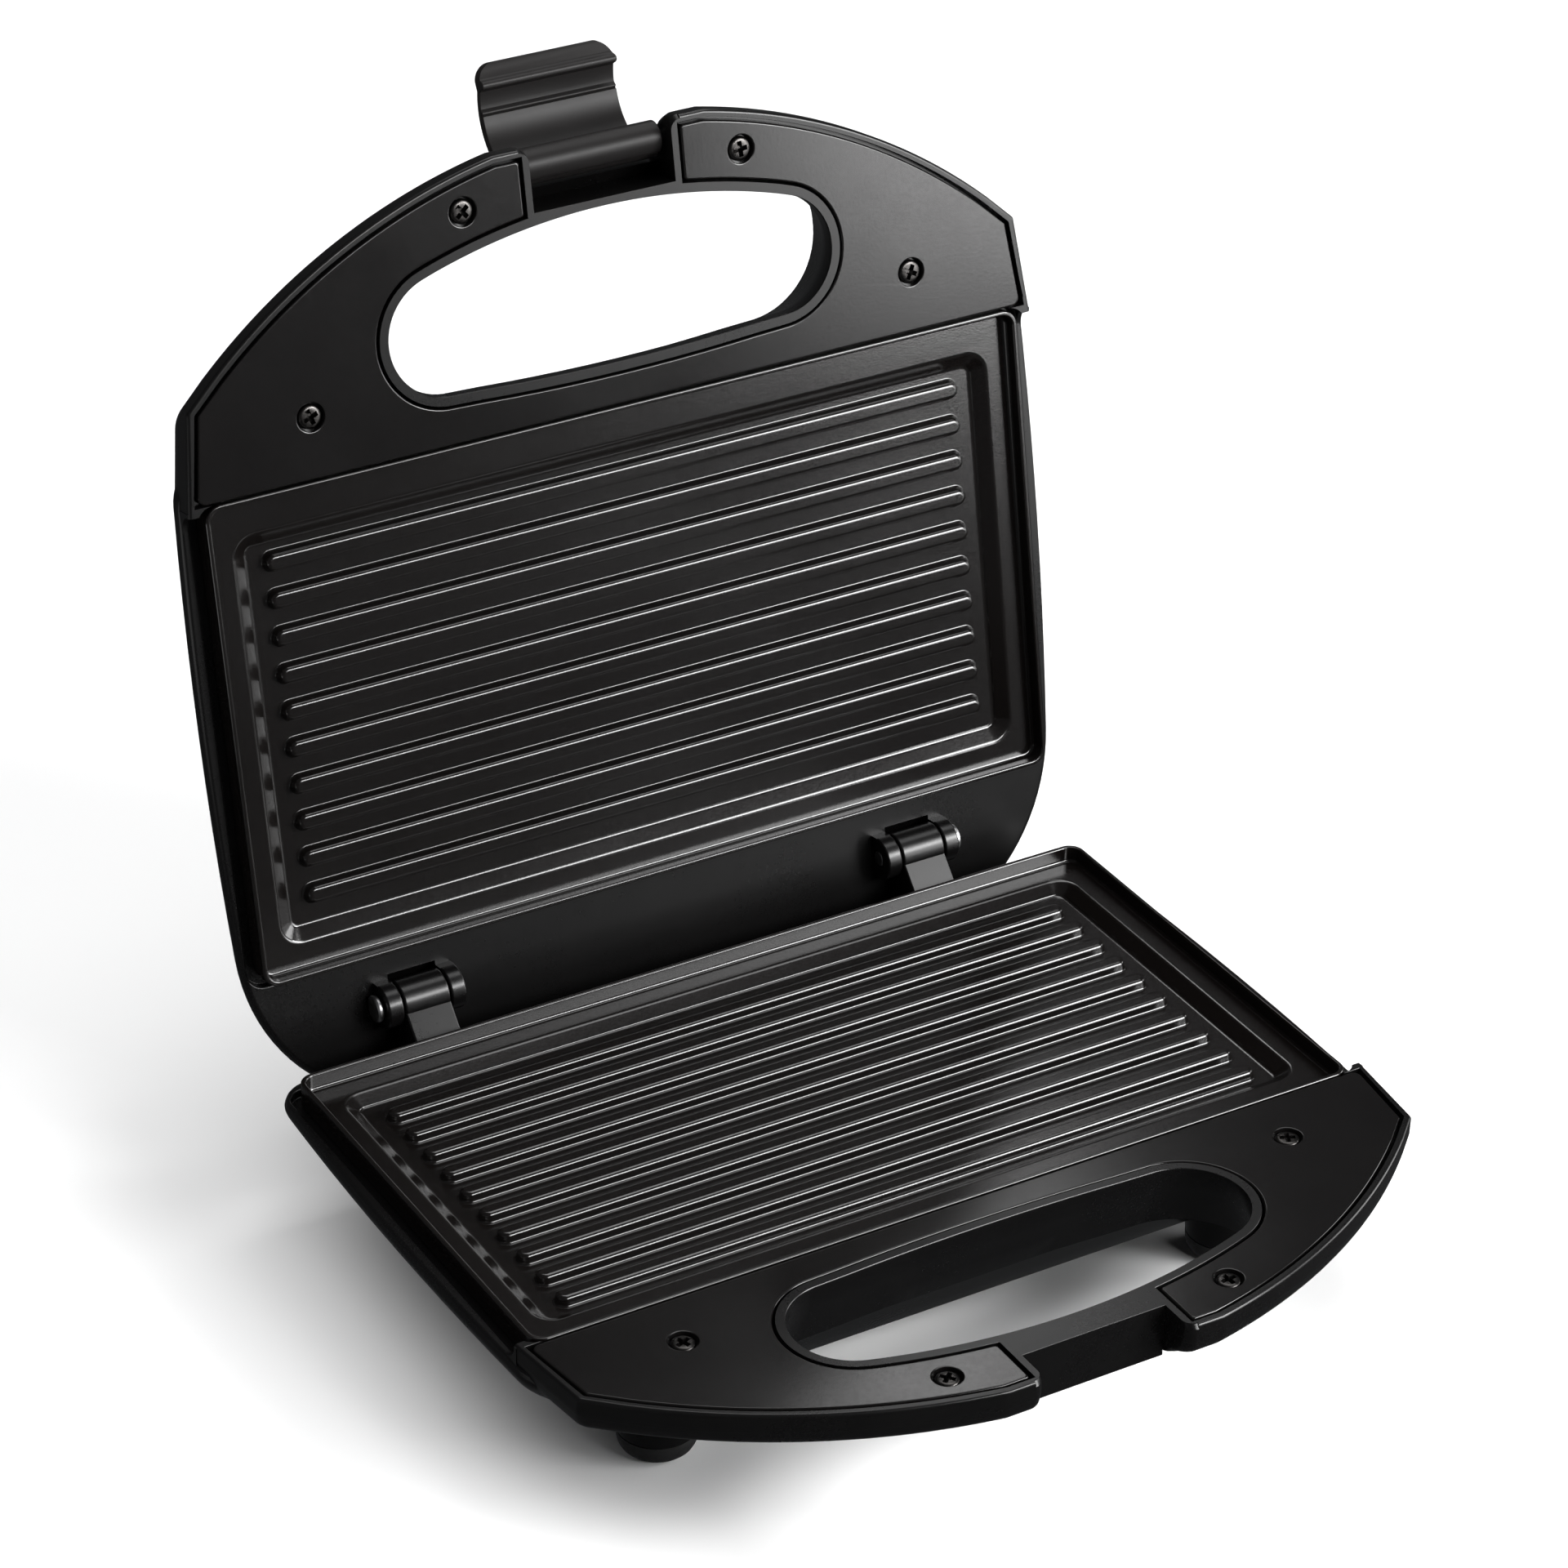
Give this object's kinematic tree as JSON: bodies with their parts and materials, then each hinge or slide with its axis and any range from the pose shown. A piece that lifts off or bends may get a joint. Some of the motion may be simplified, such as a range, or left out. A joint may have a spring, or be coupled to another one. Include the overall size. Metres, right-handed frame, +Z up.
{
  "type": "panini press",
  "caption": "Hinged contact grill with ribbed non-stick plates, finger-hole handles and a swing-over clip latch, shown open.",
  "frame": {"origin": "on the table under the centre of the open press's bounding box", "axes": "+Z up, front (handle side) towards -Y, hinge axis along X, lid open behind the base"},
  "size_m": [0.231, 0.2644, 0.2522],
  "materials": {
    "black_plastic": "satin black moulded plastic",
    "panel_plastic": "smooth dark grey-black plastic",
    "non_stick": "die-cast, black non-stick coating with a fine speckle",
    "steel": "plain drawn steel",
    "black_steel": "black oxide on steel",
    "aluminised": "pressed sheet, dull",
    "ceramic": "off-white heat-resistant moulding",
    "rubber": "matt black",
    "glass_sleeve": "woven glass-fibre sleeve",
    "red_lens": "translucent red",
    "green_lens": "translucent green",
    "neon_glass": "clear glass"
  },
  "bodies": {
    "base": {"base_shell": "black_plastic", "base_handle_panel": "panel_plastic", "base_panel_screw_rear_left": "black_steel", "bottom_screw_rear_left": "black_steel", "foot_rear_left": "rubber", "base_panel_screw_rear_right": "black_steel", "bottom_screw_rear_right": "black_steel", "foot_rear_right": "rubber", "base_panel_screw_front_left": "black_steel", "bottom_screw_front_left": "black_steel", "foot_front_left": "rubber", "base_panel_screw_front_right": "black_steel", "bottom_screw_front_right": "black_steel", "foot_front_right": "rubber", "base_grill_plate": "non_stick", "base_heating_element": "steel", "base_heat_shield": "aluminised", "base_thermostat": "ceramic", "base_lead_sleeve": "glass_sleeve", "base_plate_screw_left": "steel", "base_plate_screw_right": "steel", "thermal_fuse": "steel", "terminal_block": "ceramic", "cord_inlet_bush": "rubber", "hinge_pin_left": "steel", "hinge_pin_right": "steel"},
    "lid": {"lid_shell": "black_plastic", "lid_handle_panel": "panel_plastic", "lid_panel_screw_rear_left": "black_steel", "lid_panel_screw_rear_right": "black_steel", "lid_panel_screw_front_left": "black_steel", "lid_panel_screw_front_right": "black_steel", "lid_grill_plate": "non_stick", "lid_heating_element": "steel", "lid_heat_shield": "aluminised", "lid_thermostat": "ceramic", "lid_lead_sleeve": "glass_sleeve", "lid_plate_screw_left": "steel", "lid_plate_screw_right": "steel", "power_lamp": "neon_glass", "ready_lamp": "neon_glass", "power_lamp_lens": "red_lens", "ready_lamp_lens": "green_lens", "latch_pin": "steel"},
    "latch": {"latch": "black_plastic"}
  },
  "joints": [
    {"name": "lid_hinge", "type": "hinge", "parent": "base", "child": "lid", "pos_m": [0, 0.0686, 0.0444], "axis": [1, 0, 0], "range_deg": [0, 100.4]},
    {"name": "latch_pivot", "type": "hinge", "parent": "lid", "child": "latch", "pos_m": [0, 0.10852, 0.23533], "axis": [1, 0, 0], "range_deg": [0, 150]}
  ]
}
